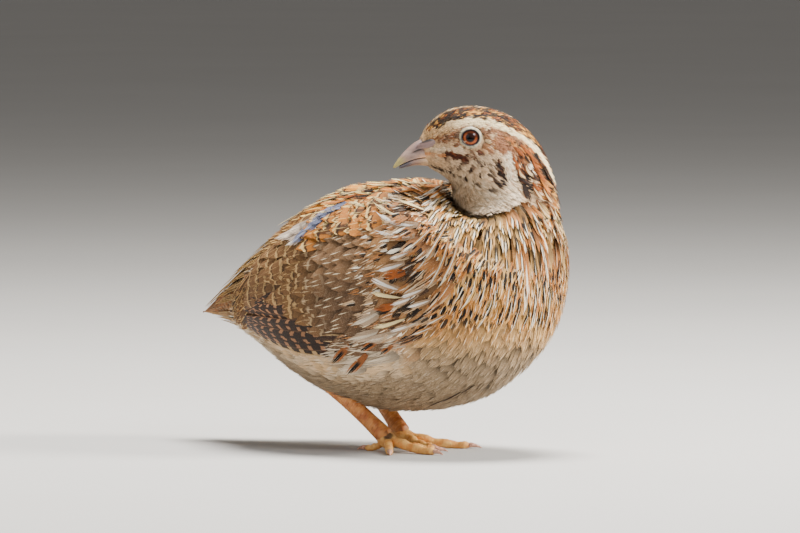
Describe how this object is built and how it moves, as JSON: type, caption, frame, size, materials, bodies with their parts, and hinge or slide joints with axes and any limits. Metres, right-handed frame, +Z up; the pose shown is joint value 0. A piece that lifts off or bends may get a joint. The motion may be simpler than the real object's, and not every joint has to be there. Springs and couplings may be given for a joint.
{
  "type": "quail",
  "caption": "Standing life-size coturnix quail with folded wings and a short tail, looking back over its right shoulder.",
  "frame": {"origin": "on the floor under the middle of the box round the bird", "axes": "+Z up from the floor, -Y the way the breast points, +X the bird's left side"},
  "size_m": [0.0732, 0.138, 0.1081],
  "materials": {
    "face_feathers": "short soft feathers, dark crown and cream brow",
    "neck_feathers": "small streaked feathers",
    "breast_feathers": "warm buff feathers with pale shafts and dark spots",
    "belly_feathers": "creamy buff loose feathers",
    "wing_feathers": "brown feathers barred and edged with buff",
    "tail_feathers": "brown barred feathers with cream streaks",
    "bill_horn": "greyish horn, satin",
    "eye_iris": "orange-brown iris, wet and glossy",
    "leg_scales": "orange scaled skin",
    "claw_horn": "pale pink horn"
  },
  "bodies": {
    "root": {"bill_lower": "bill_horn", "bill_upper": "bill_horn", "claw_left_1": "claw_horn", "claw_left_2": "claw_horn", "claw_left_3": "claw_horn", "claw_left_4": "claw_horn", "claw_right_1": "claw_horn", "claw_right_2": "claw_horn", "claw_right_3": "claw_horn", "claw_right_4": "claw_horn", "eye_left": "eye_iris", "eye_right": "eye_iris", "foot_left": "leg_scales", "foot_right": "leg_scales", "head": "face_feathers", "neck": "neck_feathers", "shank_left": "leg_scales", "shank_right": "leg_scales", "tail": "tail_feathers", "thigh_left": "belly_feathers", "thigh_right": "belly_feathers", "torso": "breast_feathers", "wing_left": "wing_feathers", "wing_right": "wing_feathers"}
  },
  "joints": []
}
